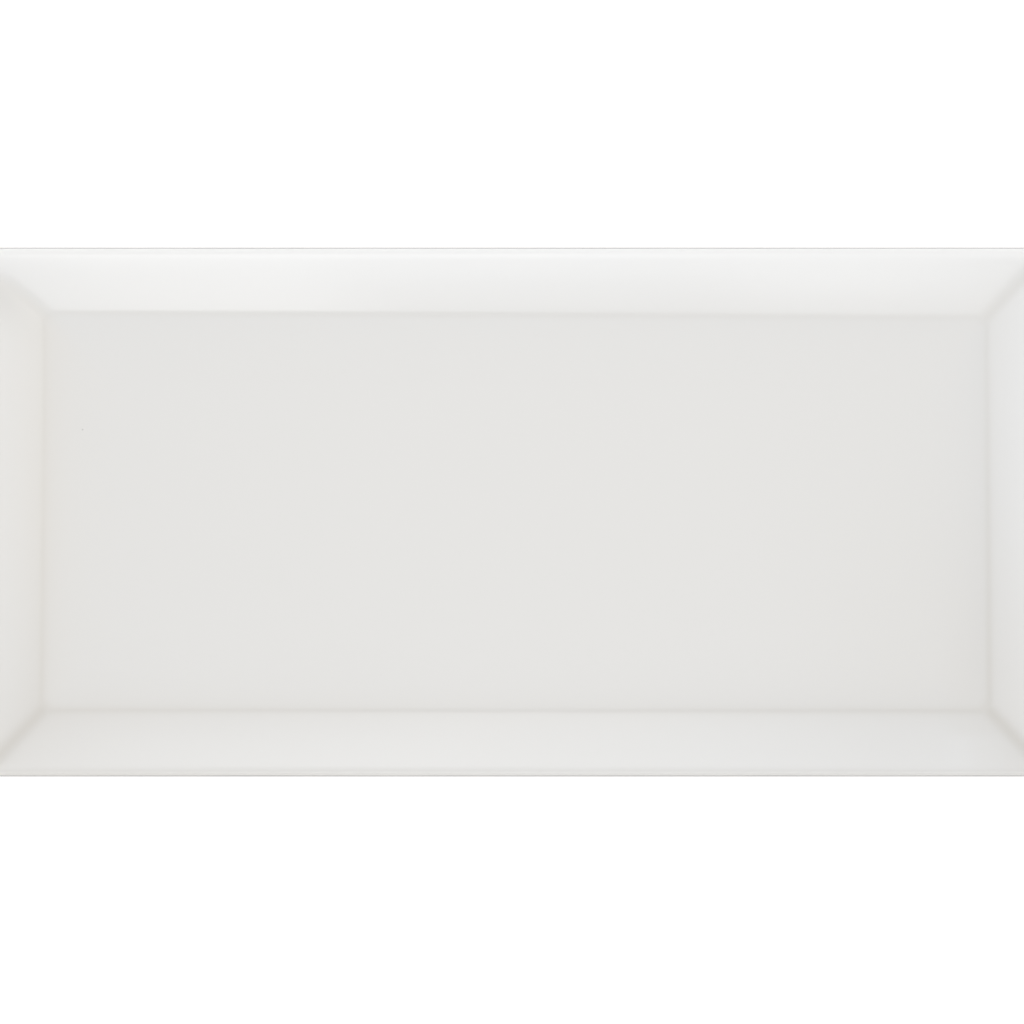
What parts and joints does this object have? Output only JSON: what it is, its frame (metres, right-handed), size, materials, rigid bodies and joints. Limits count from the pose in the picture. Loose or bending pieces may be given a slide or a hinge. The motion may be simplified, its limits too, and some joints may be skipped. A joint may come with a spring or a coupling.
{
  "type": "bevelled subway wall tile",
  "caption": "Rectangular ceramic wall tile in glossy white glaze, with a raised flat face, mitred bevels along every side and a keyed back.",
  "frame": {"origin": "centre of the back face, which the tile lies on and is bonded by", "axes": "+X along the tile's length, +Y across its width, +Z out of the glazed face"},
  "size_m": [0.15, 0.074, 0.008],
  "materials": {
    "white_glazed_ceramic": "gloss"
  },
  "bodies": {
    "root": {"wall_tile": "white_glazed_ceramic"}
  },
  "joints": []
}
